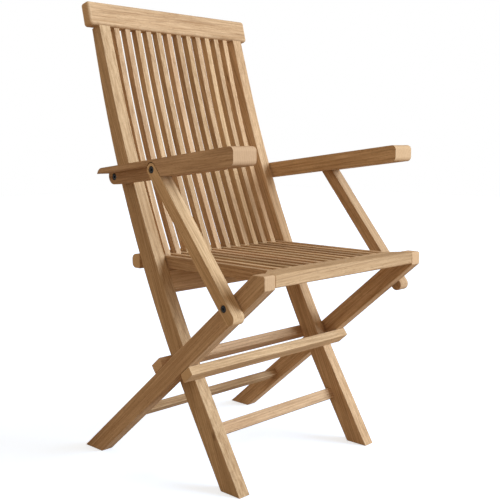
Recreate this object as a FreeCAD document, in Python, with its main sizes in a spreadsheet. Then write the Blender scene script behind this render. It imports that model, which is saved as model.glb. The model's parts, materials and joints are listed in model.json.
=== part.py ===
# Folding teak armchair, modelled standing open.
# Frame: millimetres, +Z up, the chair faces -Y, and +X is on the sitter's left.
# Origin: on the floor, under the middle of the outer box.
import FreeCAD, Part
import Sketcher
import math
import os

# Driving dimensions, in millimetres and degrees.
# Places fore and aft are measured from the front edge of the back stiles' feet.
SIZES = {
    "timber_thick": 28.5,
    "joint_gap": 1.5,
    "inner_half_width": 184.0,
    "stile_foot_long": 52.7,
    "stile_low_angle": 31.0,
    "stile_high_angle": 16.44,
    "stile_rear_high_angle": 13.58,
    "stile_front_bend": 2828.0,
    "stile_rear_bend": 2490.0,
    "stile_bend_drop": 441.5,
    "stile_top_height": 919.0,
    "stile_top_deep": 28.3,
    "top_rail_overhang": 21.5,
    "top_rail_tall": 51.7,
    "top_rail_deep": 26.0,
    "top_rail_angle": 14.0,
    "top_rail_corner": 7.0,
    "slat_clearance": 1.25,
    "back_slat_deep": 16.5,
    "back_slat_low_setback": 14.5,
    "back_slat_top_setback": 6.5,
    "back_rail_tall": 40.5,
    "back_rail_deep": 32.0,
    "back_rail_setback": 1.0,
    "seat_height": 440.0,
    "seat_overhang": 91.7,
    "strip_wide": 13.0,
    "strip_tall": 24.4,
    "strip_side_gap": 0.5,
    "front_rail_deep": 49.4,
    "front_rail_end_deep": 27.2,
    "front_rail_edge": 4.0,
    "rear_rail_clearance": 6.6,
    "rear_rail_deep": 25.0,
    "rear_rail_tall": 30.0,
    "rear_rail_inset": 4.5,
    "rear_rail_round": 11.0,
    "seat_side_gap": 0.4,
    "leg_deep": 39.0,
    "leg_foot_aft": 456.8,
    "front_stop_deep": 31.0,
    "front_stop_thick": 18.5,
    "rear_stop_deep": 29.5,
    "rear_stop_thick": 19.2,
    "stop_face_angle": 36.0,
    "stop_gap": 0.3,
    "stretcher_tall": 24.0,
    "stretcher_thick": 16.0,
    "front_stretcher_height": 99.5,
    "rear_stretcher_height": 102.0,
    "arm_rise": 163.1,
    "arm_end_setback": 21.07,
    "arm_reach": 380.0,
    "arm_tall": 34.9,
    "arm_tilt": 6.98,
    "arm_corner": 10.0,
    "arm_flange_thick": 11.0,
    "arm_pivot_drop": 1.6,
    "support_deep": 26.0,
    "support_top_forward": 157.67,
    "support_top_drop": 2.06,
    "support_foot_down": 78.4,
    "support_tail": 34.0,
    "support_clearance": 1.8,
    "pin_wide": 8.0,
    "pin_fit": 0.1,
    "pin_reach": 20.0,
    "head_wide": 13.0,
    "head_thick": 3.0,
    "counterbore_wide": 15.0,
    "counterbore_deep": 4.0,
    "washer_wide": 20.0,
    "washer_thick": 1.2,
}
BACK_SLATS = 12
SEAT_STRIPS = 13
# The sitter's right is at -X, the left at +X.
SIDES = {"right": -1, "left": 1}
# Two points nearer than this are one.
SAME_POINT = 0.001

doc = FreeCAD.newDocument("FoldingArmchair")
nodes = []


def new_sheet(name, numbers):
    """A sheet of named numbers that the sub-parts' formulas read."""
    made = doc.addObject("Spreadsheet::Sheet", name)
    for row, (alias, number) in enumerate(numbers.items(), start=1):
        made.set("A%d" % row, alias)
        made.set("B%d" % row, str(number))
        made.setAlias("B%d" % row, alias)
    doc.recompute()
    return made


sizes_sheet = new_sheet("Sizes", SIZES)


def size(alias):
    """A driving dimension, read back from the sheet."""
    return float(getattr(sizes_sheet, alias))


# Lines in the side view, where a point is (aft, up).
def lean_line(point, lean):
    """A line through a point, leaning back from the vertical by some degrees."""
    angle = math.radians(lean)
    return point, (math.sin(angle), math.cos(angle))


def shifted(line, aft):
    """The line moved square to itself, toward the rear."""
    (y, z), (run, rise) = line
    return (y + aft * rise, z - aft * run), (run, rise)


def shifted_up(line, up):
    """A nearly level line moved square to itself, upward."""
    (y, z), (run, rise) = line
    return (y - up * rise, z + up * run), (run, rise)


def level(height):
    """A level line at a height."""
    return (0.0, height), (1.0, 0.0)


def upright(aft):
    """A vertical line at a place fore and aft."""
    return (aft, 0.0), (0.0, 1.0)


def square_to(line, point):
    """The line through a point that crosses another line squarely."""
    run, rise = line[1]
    return point, (rise, -run)


def meet(line_a, line_b):
    """The point where two lines cross."""
    (ay, az), (au, av) = line_a
    (by, bz), (bu, bv) = line_b
    along = ((by - ay) * bv - (bz - az) * bu) / (au * bv - av * bu)
    return ay + along * au, az + along * av


def through(low_point, high_point):
    """The line through two points."""
    run, rise = high_point[0] - low_point[0], high_point[1] - low_point[1]
    return lean_line(low_point, math.degrees(math.atan2(run, rise)))


def point_along(line, distance):
    """The point at a distance along a line from its own point."""
    (y, z), (run, rise) = line
    return y + distance * run, z + distance * rise


def bend_radius(low, high, radius, foot, top):
    """A bend's radius, as far as its straights down to the foot and up to the top leave room."""
    bend = meet(low, high)
    half_turn = (math.atan2(*low[1]) - math.atan2(*high[1])) / 2
    room = min(math.dist(bend, foot), math.dist(bend, top))
    return min(radius, room / math.tan(half_turn))


def edge_at(low, high, radius, height):
    """A bent edge's point at a height: on its low straight, on its bend or on its high straight."""
    centre = meet(shifted(low, -radius), shifted(high, -radius))
    if height < meet(low, square_to(low, centre))[1]:
        return meet(low, level(height))
    if height > meet(high, square_to(high, centre))[1]:
        return meet(high, level(height))
    return centre[0] + math.sqrt(radius ** 2 - (height - centre[1]) ** 2), height


def corner(line_a, line_b, radius=0.0):
    """An outline's corner where two lines cross, with its rounding."""
    y, z = meet(line_a, line_b)
    return y, z, radius


def section(centre_line, height, tall, thick):
    """The four corners of a rail's section, centred on a leaning line at a height."""
    centre = meet(centre_line, level(height))
    run, rise = centre_line[1]
    ends = [square_to(centre_line, (centre[0] + side * run * tall / 2, centre[1] + side * rise * tall / 2))
            for side in (-1, 1)]
    front = shifted(centre_line, -thick / 2)
    rear = shifted(centre_line, thick / 2)
    return [corner(front, ends[0]), corner(rear, ends[0]), corner(rear, ends[1]), corner(front, ends[1])]


# Bodies, sketches and features.
def make_body(label):
    """A new sub-part."""
    body = doc.addObject("PartDesign::Body", label)
    body.Label = label
    nodes.append(body)
    return body


def place(item, across="0", aft="0", up="0", lean=0.0):
    """Set a sub-part in the chair by formulas, measured from the feet, and lean it back."""
    item.Placement = FreeCAD.Placement(
        FreeCAD.Vector(), FreeCAD.Rotation(FreeCAD.Vector(1, 0, 0), -lean))
    item.setExpression("Placement.Base.x", across)
    item.setExpression("Placement.Base.y", "%s - %s" % (aft, MIDDLE_AFT))
    item.setExpression("Placement.Base.z", up)


def sketch_on(body, name, role, offset="0"):
    """An empty sketch on one of the body's own origin planes, moved along its normal."""
    sketch = body.newObject("Sketcher::SketchObject", name)
    planes = [feature for feature in body.Origin.OriginFeatures if feature.Role == role]
    sketch.AttachmentSupport = [(planes[0], "")]
    sketch.MapMode = "FlatFace"
    sketch.setExpression("AttachmentOffset.Base.z", offset)
    return sketch


def round_corner(before, point, after, radius):
    """Where a corner's arc starts, its middle, and where it ends."""
    here = FreeCAD.Vector(point[0], point[1], 0)
    back = (FreeCAD.Vector(before[0], before[1], 0) - here).normalize()
    onward = (FreeCAD.Vector(after[0], after[1], 0) - here).normalize()
    half_angle = back.getAngle(onward) / 2
    reach = radius / math.tan(half_angle)
    inward = (back + onward).normalize()
    middle = here + inward * (radius / math.sin(half_angle) - radius)
    return here + back * reach, middle, here + onward * reach


def draw_outline(sketch, corners):
    """Draw a closed outline through corners (u, v, radius), joined end to end."""
    rounded = []
    for index, (u, v, radius) in enumerate(corners):
        if radius > 0:
            following = corners[(index + 1) % len(corners)]
            rounded.append(round_corner(corners[index - 1], (u, v), following, radius))
        else:
            point = FreeCAD.Vector(u, v, 0)
            rounded.append((point, None, point))
    curves = []
    for index, (start, middle, end) in enumerate(rounded):
        if middle is not None:
            curves.append(Part.Arc(start, middle, end))
        following = rounded[(index + 1) % len(rounded)][0]
        if (following - end).Length > SAME_POINT:
            curves.append(Part.LineSegment(end, following))
    sketch.addGeometry(curves, False)
    join_ends(sketch)


def join_ends(sketch):
    """Make the ends that meet in a sketch coincident."""
    ends = [(index, which, sketch.getPoint(index, which))
            for index in range(len(sketch.Geometry)) for which in (1, 2)]
    joined = set()
    for place_a, (index_a, which_a, point_a) in enumerate(ends):
        for index_b, which_b, point_b in ends[place_a + 1:]:
            near = index_a != index_b and (point_a - point_b).Length < SAME_POINT
            if near and (index_a, which_a) not in joined and (index_b, which_b) not in joined:
                sketch.addConstraint(
                    Sketcher.Constraint("Coincident", index_a, which_a, index_b, which_b))
                joined.update({(index_a, which_a), (index_b, which_b)})


def draw_circle(sketch, centre, diameter):
    """Draw a circle whose diameter is a formula on the sheet."""
    circle = Part.Circle(FreeCAD.Vector(centre[0], centre[1], 0), FreeCAD.Vector(0, 0, 1), timber / 4)
    index = sketch.addGeometry(circle, False)
    number = sketch.addConstraint(Sketcher.Constraint("Diameter", index, timber / 2))
    sketch.setExpression("Constraints[%d]" % number, diameter)


def pad(body, name, sketch, length, side="Symmetric", reverse=False):
    """Pad a sketch by a formula."""
    feature = body.newObject("PartDesign::Pad", name)
    feature.Profile = sketch
    feature.SideType = side
    feature.setExpression("Length", length)
    feature.Reversed = reverse
    doc.recompute()
    return feature


def pocket(body, name, sketch, length, direction):
    """Cut a sketch into a body along X, toward +1 or -1, and see that it cut."""
    before = body.Shape.Volume
    feature = body.newObject("PartDesign::Pocket", name)
    feature.Profile = sketch
    feature.setExpression("Length", length)
    feature.Reversed = direction > 0
    doc.recompute()
    if body.Shape.Volume > before - 1.0:
        raise RuntimeError("%s cuts nothing from %s" % (name, body.Label))


def bore(body, name, centre, diameter, offset, deep, direction):
    """Bore a round hole along X, from a plane at an offset."""
    sketch = sketch_on(body, name + "_circle", "YZ_Plane", offset)
    draw_circle(sketch, centre, diameter)
    pocket(body, name, sketch, deep, direction)


def soften(body, name, picked, radius):
    """Round the edges that a test picks from the body's last feature."""
    tip = body.Tip
    edges = ["Edge%d" % (index + 1) for index, edge in enumerate(tip.Shape.Edges) if picked(edge.BoundBox)]
    feature = body.newObject("PartDesign::Fillet", name)
    feature.Base = (tip, edges)
    feature.setExpression("Radius", radius)
    doc.recompute()


# Metal pieces: cylinders along X, mirrored for each side of the chair.
def rod(name, sign, centre, diameter, start, length):
    """A round bar from a place across, going outward."""
    item = doc.addObject("Part::Cylinder", name)
    item.setExpression("Radius", "(%s) / 2" % diameter)
    item.setExpression("Height", length)
    item.Placement = FreeCAD.Placement(
        FreeCAD.Vector(0, centre[0] - middle_aft, centre[1]),
        FreeCAD.Rotation(FreeCAD.Vector(0, 1, 0), 90 * sign))
    item.setExpression("Placement.Base.x", "%d * (%s)" % (sign, start))
    return item


def join(label, items):
    """One sub-part from several solids."""
    fused = doc.addObject("Part::MultiFuse", label)
    fused.Shapes = items
    fused.Label = label
    return fused


def pins(label, signs, centre, start, length):
    """A plain steel pin on each side."""
    items = [rod("%s_rod_%d" % (label, index), sign, centre, "Sizes.pin_wide", start, length)
             for index, sign in enumerate(signs)]
    nodes.append(join(label, items))


def bolts(label, signs, centre, start, head_start):
    """A steel bolt on each side: a shank, and a round head sunk in the timber."""
    items = []
    for index, sign in enumerate(signs):
        name = "%s_%d" % (label, index)
        items.append(rod(name + "_shank", sign, centre, "Sizes.pin_wide", start,
                         "%s - (%s)" % (head_start, start)))
        items.append(rod(name + "_head", sign, centre, "Sizes.head_wide", head_start, "Sizes.head_thick"))
    nodes.append(join(label, items))


def washers(label, signs, centre, start):
    """A flat washer on each side, between two timbers."""
    rings = []
    for index, sign in enumerate(signs):
        name = "%s_%d" % (label, index)
        ring = doc.addObject("Part::Cut", name + "_ring")
        ring.Base = rod(name + "_disc", sign, centre, "Sizes.washer_wide", start, "Sizes.washer_thick")
        ring.Tool = rod(name + "_hole", sign, centre, PIN_HOLE, start, "Sizes.washer_thick")
        rings.append(ring)
    if len(rings) == 1:
        rings[0].Label = label
        nodes.append(rings[0])
    else:
        nodes.append(join(label, rings))


# Places across the chair, from the middle out: stile, folding leg and arm web, arm support.
timber = size("timber_thick")
leg_inner = size("inner_half_width") + timber + size("joint_gap")
MIDDLE_AFT = "(Sizes.leg_foot_aft - Sizes.seat_overhang) / 2"
STILE_OUTER = "(Sizes.inner_half_width + Sizes.timber_thick)"
LEG_INNER = "(%s + Sizes.joint_gap)" % STILE_OUTER
LEG_OUTER = "(%s + Sizes.timber_thick)" % LEG_INNER
SUPPORT_INNER = "(%s + Sizes.joint_gap)" % LEG_OUTER
SUPPORT_OUTER = "(%s + Sizes.timber_thick)" % SUPPORT_INNER
HALF_TIMBER = "Sizes.timber_thick / 2"
PIN_HOLE = "Sizes.pin_wide + 2 * Sizes.pin_fit"
BLIND = "Sizes.pin_reach + Sizes.pin_fit"
COUNTERBORE = "Sizes.counterbore_wide"
# The seat's strips fill the width between the stiles, and each back slat stands between two of them.
SLAT_PITCH = ("((Sizes.inner_half_width - Sizes.strip_side_gap - Sizes.strip_wide / 2) / %d)"
              % (SEAT_STRIPS // 2))
BACK_SLAT_WIDE = "(%s - Sizes.strip_wide - 2 * Sizes.slat_clearance)" % SLAT_PITCH

# Places up the chair, and the seat's front.
middle_aft = (size("leg_foot_aft") - size("seat_overhang")) / 2
seat_front = -size("seat_overhang")
seat_top = size("seat_height")
seat_under = seat_top - size("strip_tall")
back_rail_top = seat_under - size("stop_gap")

# The back stiles' edges: a low straight, a long bend, and a high straight up to the top rail.
front_low = lean_line((0.0, 0.0), size("stile_low_angle"))
bend_height = size("stile_top_height") - size("stile_bend_drop")
front_high = lean_line(meet(front_low, level(bend_height)), size("stile_high_angle"))
stile_top = meet(front_high, level(size("stile_top_height")))
rear_low = lean_line((size("stile_foot_long"), 0.0), size("stile_low_angle"))
rear_high = lean_line((stile_top[0] + size("stile_top_deep"), stile_top[1]), size("stile_rear_high_angle"))
rail_under = square_to(lean_line(stile_top, size("top_rail_angle")), stile_top)
front_bend = bend_radius(front_low, front_high, size("stile_front_bend"), front_low[0], stile_top)
rear_bend = bend_radius(rear_low, rear_high, size("stile_rear_bend"), rear_low[0], rear_high[0])

# The folding legs' edges: straight, leaning forward from the rear feet, with the seat's pivot between them.
seat_pivot = (seat_front + size("front_rail_end_deep") / 2, (seat_top + seat_under) / 2)
pivot_forward = size("leg_foot_aft") - seat_pivot[0]
leg_lean = math.degrees(math.atan2(pivot_forward, seat_pivot[1])
                        - math.asin(size("leg_deep") / 2 / math.hypot(pivot_forward, seat_pivot[1])))
leg_rear = lean_line((size("leg_foot_aft"), 0.0), -leg_lean)
leg_middle = shifted(leg_rear, -size("leg_deep") / 2)
leg_front = shifted(leg_rear, -size("leg_deep"))
crossing = meet(leg_middle, lean_line((size("stile_foot_long") / 2, 0.0), size("stile_low_angle")))


def front_edge(height):
    """The point of the stiles' front edge at a height."""
    return edge_at(front_low, front_high, front_bend, height)


def rear_edge(height):
    """The point of the stiles' rear edge at a height."""
    return edge_at(rear_low, rear_high, rear_bend, height)


# The seat's rear rail, behind the stiles.
rear_rail_front = rear_edge(seat_top)[0] + size("rear_rail_clearance")

# The arms, from the centre of their round ends on the stiles.
arm_height = seat_top + size("arm_rise")
arm_end = (front_edge(arm_height)[0] + size("arm_end_setback"), arm_height)
arm_upright = lean_line(arm_end, size("arm_tilt"))
arm_level = square_to(arm_upright, arm_end)


def arm_point(along, up):
    """The side view point at a place along the arm to the rear, and up through it."""
    (run, rise), (lean, stand) = arm_level[1], arm_upright[1]
    return arm_end[0] + along * run + up * lean, arm_end[1] + along * rise + up * stand


def in_arm(point):
    """A side view point in the arm's own frame: along the arm to the rear, and up through it."""
    y = point[0] - arm_end[0]
    z = point[1] - arm_end[1]
    (run, rise), (lean, stand) = arm_level[1], arm_upright[1]
    return y * run + z * rise, y * lean + z * stand


# The arms' pivots, and the supports from the arms down to the folding legs.
arm_pivot = arm_point(0.0, -size("arm_pivot_drop"))
support_top = arm_point(-size("support_top_forward"), -size("support_top_drop"))
support_foot = point_along((seat_pivot, leg_middle[1]), -size("support_foot_down"))
support_line = through(support_foot, support_top)
support_between = math.dist(support_foot, support_top)
support_lean = math.degrees(math.atan2(*support_line[1]))

new_sheet("Places", {
    "stile_top_aft": stile_top[0],
    "arm_end_aft": arm_end[0],
    "arm_end_height": arm_end[1],
    "support_top_aft": support_top[0],
    "support_top_height": support_top[1],
})


# The back frame: two stiles, the top rail, the slats, the lower rail, a stop rail and a stretcher.
def stile(side, sign):
    """A back stile: the chair's front foot below, the back's side above, bent and tapered."""
    body = make_body("stile_" + side)
    outline = sketch_on(body, "side_outline", "YZ_Plane")
    draw_outline(outline, [
        corner(front_low, level(0.0)),
        corner(rear_low, level(0.0)),
        corner(rear_low, rear_high, rear_bend),
        corner(rear_high, rail_under),
        corner(front_high, rail_under),
        corner(front_low, front_high, front_bend),
    ])
    pad(body, "timber", outline, "Sizes.timber_thick")
    outer_face = "%d * %s" % (sign, HALF_TIMBER)
    bore(body, "crossing_hole", crossing, PIN_HOLE, outer_face, BLIND, -sign)
    bore(body, "arm_hole", arm_pivot, PIN_HOLE, outer_face, BLIND, -sign)
    place(body, "%d * (Sizes.inner_half_width + %s)" % (sign, HALF_TIMBER))


def top_rail():
    """The top rail: a level board across the stiles' heads, leaning back."""
    body = make_body("top_rail")
    outline = sketch_on(body, "front_outline", "XZ_Plane")
    half = size("inner_half_width") + timber + size("top_rail_overhang")
    tall = size("top_rail_tall")
    draw_outline(outline, [
        (-half, 0.0, 0.0),
        (half, 0.0, 0.0),
        (half, tall, size("top_rail_corner")),
        (-half, tall, size("top_rail_corner")),
    ])
    # This outline's normal points forward, so the board is padded the other way.
    pad(body, "board", outline, "Sizes.top_rail_deep", "One side", True)
    place(body, "0", "Places.stile_top_aft", "Sizes.stile_top_height", size("top_rail_angle"))


def back_slat(index):
    """An upright slat of the back: a lath bent like the stiles' middle, trimmed on the lower rail."""
    body = make_body("back_slat_%02d" % (index + 1))
    deep = size("back_slat_deep")
    angle = (size("stile_high_angle") + size("stile_rear_high_angle")) / 2
    low = shifted(front_low, size("back_slat_low_setback"))
    high = lean_line(meet(shifted(front_high, size("back_slat_top_setback")), rail_under), angle)
    bend = bend_radius(low, high, (front_bend + rear_bend) / 2, low[0], high[0])
    outline = sketch_on(body, "side_outline", "YZ_Plane")
    draw_outline(outline, [
        corner(low, level(0.0)),
        corner(shifted(low, deep), level(0.0)),
        corner(shifted(low, deep), shifted(high, deep), bend + deep),
        corner(shifted(high, deep), rail_under),
        corner(high, rail_under),
        corner(low, high, bend),
    ])
    pad(body, "lath", outline, BACK_SLAT_WIDE)
    waste = sketch_on(body, "waste_outline", "YZ_Plane", "-%s" % BACK_SLAT_WIDE)
    shoulder = level(back_rail_top)
    draw_outline(waste, [
        corner(upright(0.0), level(0.0)),
        corner(upright(stile_top[0]), level(0.0)),
        corner(upright(stile_top[0]), shoulder),
        corner(upright(0.0), shoulder),
    ])
    pocket(body, "trimmed_foot", waste, "2 * %s" % BACK_SLAT_WIDE, 1)
    place(body, "%.1f * %s" % (index - (BACK_SLATS - 1) / 2, SLAT_PITCH))


def lower_back_rail():
    """The lower back rail between the stiles: it carries the slats' feet and the seat."""
    body = make_body("lower_back_rail")
    top = back_rail_top
    bottom = top - size("back_rail_tall")
    front = shifted(through(front_edge(bottom), front_edge(top)), size("back_rail_setback"))
    rear = shifted(front, size("back_rail_deep"))
    under = square_to(front, front[0])
    outline = sketch_on(body, "side_outline", "YZ_Plane")
    draw_outline(outline, [
        corner(front, under),
        corner(rear, under),
        corner(rear, level(top)),
        corner(front, level(top)),
    ])
    pad(body, "board", outline, "2 * Sizes.inner_half_width")
    place(body)


def front_stop_rail():
    """The rail on the stiles' front edges that the folding legs come down on."""
    body = make_body("front_stop_rail")
    top = shifted(leg_front, -size("stop_gap"))
    under = shifted(top, -size("front_stop_thick"))
    back = through(front_edge(meet(front_low, under)[1]), front_edge(meet(front_low, top)[1]))
    along_top = (meet(back, top), leg_front[1])
    face = lean_line(point_along(along_top, size("front_stop_deep")), size("stop_face_angle"))
    outline = sketch_on(body, "side_outline", "YZ_Plane")
    draw_outline(outline, [
        corner(face, under),
        corner(back, under),
        corner(back, top),
        corner(face, top),
    ])
    pad(body, "board", outline, "2 * %s" % LEG_OUTER)
    place(body)


def front_stretcher():
    """The low stretcher between the stiles, flush with their rear edges."""
    body = make_body("front_stretcher")
    thick = size("stretcher_thick")
    outline = sketch_on(body, "side_outline", "YZ_Plane")
    draw_outline(outline, section(shifted(rear_low, -thick / 2), size("front_stretcher_height"),
                                  size("stretcher_tall"), thick))
    pad(body, "board", outline, "2 * Sizes.inner_half_width")
    place(body)


# The folding frame: two legs, the stop rail behind the stiles, and the rear stretcher.
def rear_leg(side, sign):
    """A folding leg: from the rear foot up past the stile to the front of the seat."""
    body = make_body("rear_leg_" + side)
    outline = sketch_on(body, "side_outline", "YZ_Plane")
    front_end = upright(seat_front)
    draw_outline(outline, [
        corner(leg_front, level(0.0)),
        corner(leg_rear, level(0.0)),
        corner(leg_rear, level(seat_top)),
        corner(front_end, level(seat_top), size("front_rail_edge")),
        corner(front_end, leg_front),
    ])
    pad(body, "timber", outline, "Sizes.timber_thick")
    inner_face = "%d * %s" % (-sign, HALF_TIMBER)
    outer_face = "%d * %s" % (sign, HALF_TIMBER)
    bore(body, "crossing_hole", crossing, PIN_HOLE, inner_face, BLIND, sign)
    bore(body, "seat_hole", seat_pivot, PIN_HOLE, inner_face, BLIND, sign)
    bore(body, "support_hole", support_foot, PIN_HOLE, outer_face, BLIND, -sign)
    place(body, "%d * (%s + %s)" % (sign, LEG_INNER, HALF_TIMBER))


def rear_stop_rail():
    """The rail on the legs' rear edges that comes up against the stiles."""
    body = make_body("rear_stop_rail")
    top = shifted(leg_rear, size("rear_stop_thick"))
    face = shifted(through(rear_edge(meet(rear_low, leg_rear)[1]), rear_edge(meet(rear_low, top)[1])),
                   size("stop_gap"))
    along_leg = (meet(face, leg_rear), leg_rear[1])
    back = lean_line(point_along(along_leg, -size("rear_stop_deep")), size("stop_face_angle"))
    outline = sketch_on(body, "side_outline", "YZ_Plane")
    draw_outline(outline, [
        corner(face, leg_rear),
        corner(back, leg_rear),
        corner(back, top),
        corner(face, top),
    ])
    pad(body, "board", outline, "2 * %s" % LEG_OUTER)
    place(body)


def rear_stretcher():
    """The low stretcher between the folding legs, on their centre lines."""
    body = make_body("rear_stretcher")
    outline = sketch_on(body, "side_outline", "YZ_Plane")
    draw_outline(outline, section(leg_middle, size("rear_stretcher_height"),
                                  size("stretcher_tall"), size("stretcher_thick")))
    pad(body, "board", outline, "2 * %s" % LEG_INNER)
    place(body)


# The seat: strips from a front rail, between the back slats, to a rear rail behind the stiles.
def seat_front_rail():
    """The seat's front rail, its ends cut back to pass the stiles when it folds."""
    body = make_body("seat_front_rail")
    end = leg_inner - size("seat_side_gap")
    shoulder = size("inner_half_width") - size("joint_gap")
    end_back = seat_front + size("front_rail_end_deep")
    back = seat_front + size("front_rail_deep")
    outline = sketch_on(body, "plan_outline", "XY_Plane", "Sizes.seat_height - Sizes.strip_tall")
    draw_outline(outline, [
        (-end, seat_front, 0.0),
        (end, seat_front, 0.0),
        (end, end_back, 0.0),
        (shoulder, back, 0.0),
        (-shoulder, back, 0.0),
        (-end, end_back, 0.0),
    ])
    pad(body, "board", outline, "Sizes.strip_tall", "One side")
    soften(body, "front_edges", lambda box: box.YMax < seat_front + SAME_POINT and box.XLength > end,
           "Sizes.front_rail_edge")
    for side, sign in SIDES.items():
        end_face = "%d * (%s - Sizes.seat_side_gap)" % (sign, LEG_INNER)
        bore(body, "pin_hole_" + side, seat_pivot, PIN_HOLE, end_face, BLIND, -sign)
    place(body)


def seat_rear_rail():
    """The seat's rear rail, behind the stiles, with both its rear edges rounded."""
    body = make_body("seat_rear_rail")
    front = upright(rear_rail_front)
    rear = upright(rear_rail_front + size("rear_rail_deep"))
    under = level(seat_top - size("rear_rail_tall"))
    outline = sketch_on(body, "side_outline", "YZ_Plane")
    draw_outline(outline, [
        corner(front, under),
        corner(rear, under, size("rear_rail_round")),
        corner(rear, level(seat_top), size("rear_rail_round")),
        corner(front, level(seat_top)),
    ])
    pad(body, "board", outline, "2 * (%s - Sizes.rear_rail_inset)" % STILE_OUTER)
    place(body)


def seat_strip(index):
    """A strip of the seat, standing on edge."""
    body = make_body("seat_strip_%02d" % (index + 1))
    front = upright(seat_front + size("front_rail_deep"))
    rear = upright(rear_rail_front)
    outline = sketch_on(body, "side_outline", "YZ_Plane")
    draw_outline(outline, [
        corner(front, level(seat_under)),
        corner(rear, level(seat_under)),
        corner(rear, level(seat_top)),
        corner(front, level(seat_top)),
    ])
    pad(body, "strip", outline, "Sizes.strip_wide")
    place(body, "%d * %s" % (index - SEAT_STRIPS // 2, SLAT_PITCH))


# The arms, hinged to the stiles, and the supports that carry them from the folding legs.
def arm(side, sign):
    """An arm: a tilted board with a round rear end, rebated outside for its support."""
    body = make_body("arm_" + side)
    half = size("arm_tall") / 2
    front_end = upright(arm_end[0] - size("arm_reach"))
    front_top = in_arm(meet(front_end, shifted_up(arm_level, half)))
    front_under = in_arm(meet(front_end, shifted_up(arm_level, -half)))
    outline = sketch_on(body, "side_outline", "YZ_Plane")
    draw_outline(outline, [
        (half, half, half),
        (half, -half, half),
        (front_under[0], -half, size("arm_corner")),
        (front_top[0], half, size("arm_corner")),
    ])
    pad(body, "board", outline, "2 * Sizes.timber_thick + Sizes.joint_gap", "One side", sign < 0)

    web_face = "%d * Sizes.timber_thick" % sign
    outward = "Sizes.timber_thick + Sizes.joint_gap"
    flange_under = half - size("arm_flange_thick")
    relief = size("support_deep") / 2 + size("support_clearance")
    shoulder = shifted(support_line, -relief)
    notch_top = in_arm(meet(shoulder, shifted_up(arm_level, flange_under)))
    notch_foot = in_arm(meet(shoulder, shifted_up(arm_level, -size("arm_tall"))))
    rebate = sketch_on(body, "rebate_outline", "YZ_Plane", web_face)
    draw_outline(rebate, [
        (notch_foot[0], notch_foot[1], 0.0),
        (size("arm_tall"), -size("arm_tall"), 0.0),
        (size("arm_tall"), flange_under, 0.0),
        (notch_top[0], flange_under, 0.0),
    ])
    pocket(body, "rebate", rebate, outward, sign)
    relief_wide = "Sizes.support_deep + 2 * Sizes.support_clearance"
    bore(body, "support_relief", in_arm(support_top), relief_wide, web_face, outward, sign)
    bore(body, "support_hole", in_arm(support_top), PIN_HOLE, web_face, BLIND, -sign)
    bore(body, "pivot_hole", in_arm(arm_pivot), PIN_HOLE, web_face, "Sizes.timber_thick", -sign)
    bore(body, "counterbore", in_arm(arm_pivot), COUNTERBORE, web_face, "Sizes.counterbore_deep", -sign)
    place(body, "%d * %s" % (sign, LEG_INNER), "Places.arm_end_aft", "Places.arm_end_height",
          size("arm_tilt"))


def arm_support(side, sign):
    """An arm support: a slanted bar with round ends, outside the folding leg."""
    body = make_body("arm_support_" + side)
    half = size("support_deep") / 2
    foot = -support_between - size("support_tail")
    outline = sketch_on(body, "side_outline", "YZ_Plane")
    draw_outline(outline, [
        (half, half, half),
        (-half, half, half),
        (-half, foot, half),
        (half, foot, half),
    ])
    pad(body, "bar", outline, "Sizes.timber_thick")
    outer_face = "%d * %s" % (sign, HALF_TIMBER)
    for name, along in (("top", 0.0), ("foot", -support_between)):
        bore(body, name + "_hole", (0.0, along), PIN_HOLE, outer_face, "Sizes.timber_thick", -sign)
        bore(body, name + "_counterbore", (0.0, along), COUNTERBORE, outer_face,
             "Sizes.counterbore_deep", -sign)
    place(body, "%d * (%s + %s)" % (sign, SUPPORT_INNER, HALF_TIMBER), "Places.support_top_aft",
          "Places.support_top_height", support_lean)


def hardware():
    """The pivots: hidden pins at the crossing and the seat, bolts at the arms and supports."""
    both = list(SIDES.values())
    pins("crossing_pins", both, crossing, "%s - Sizes.pin_reach" % STILE_OUTER,
         "2 * Sizes.pin_reach + Sizes.joint_gap")
    pins("seat_pins", both, seat_pivot, "%s - Sizes.seat_side_gap - Sizes.pin_reach" % LEG_INNER,
         "2 * Sizes.pin_reach + Sizes.seat_side_gap")
    washers("crossing_washers", both, crossing, STILE_OUTER)
    washers("arm_washers", both, arm_pivot, STILE_OUTER)
    web_head = "%s - Sizes.counterbore_deep + Sizes.pin_fit" % LEG_OUTER
    bolts("arm_bolts", both, arm_pivot, "%s - Sizes.pin_reach" % STILE_OUTER, web_head)
    support_head = "%s - Sizes.counterbore_deep" % SUPPORT_OUTER
    for side, sign in SIDES.items():
        bolts("support_top_bolt_" + side, [sign], support_top, "%s - Sizes.pin_reach" % LEG_OUTER,
              "%s + Sizes.pin_fit" % support_head)
        washers("support_top_washer_" + side, [sign], support_top, LEG_OUTER)
        # The foot pivot is left open: its bolt stops flush inside the support.
        bolts("support_foot_bolt_" + side, [sign], support_foot, SUPPORT_INNER, support_head)
        washers("support_foot_washer_" + side, [sign], support_foot,
                "%s - Sizes.washer_thick" % SUPPORT_INNER)


def write_parts():
    """Check every object, then write one STEP file for each sub-part."""
    doc.recompute()
    for item in doc.Objects:
        if "Invalid" in item.State or "Error" in item.State:
            raise RuntimeError("%s failed: %s" % (item.Label, item.State))
    for node in nodes:
        if node.Shape.isNull() or not node.Shape.isValid():
            raise RuntimeError("%s has no valid shape" % node.Label)
    os.makedirs("parts", exist_ok=True)
    for node in nodes:
        node.Shape.exportStep("parts/%s.step" % node.Label)


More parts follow.
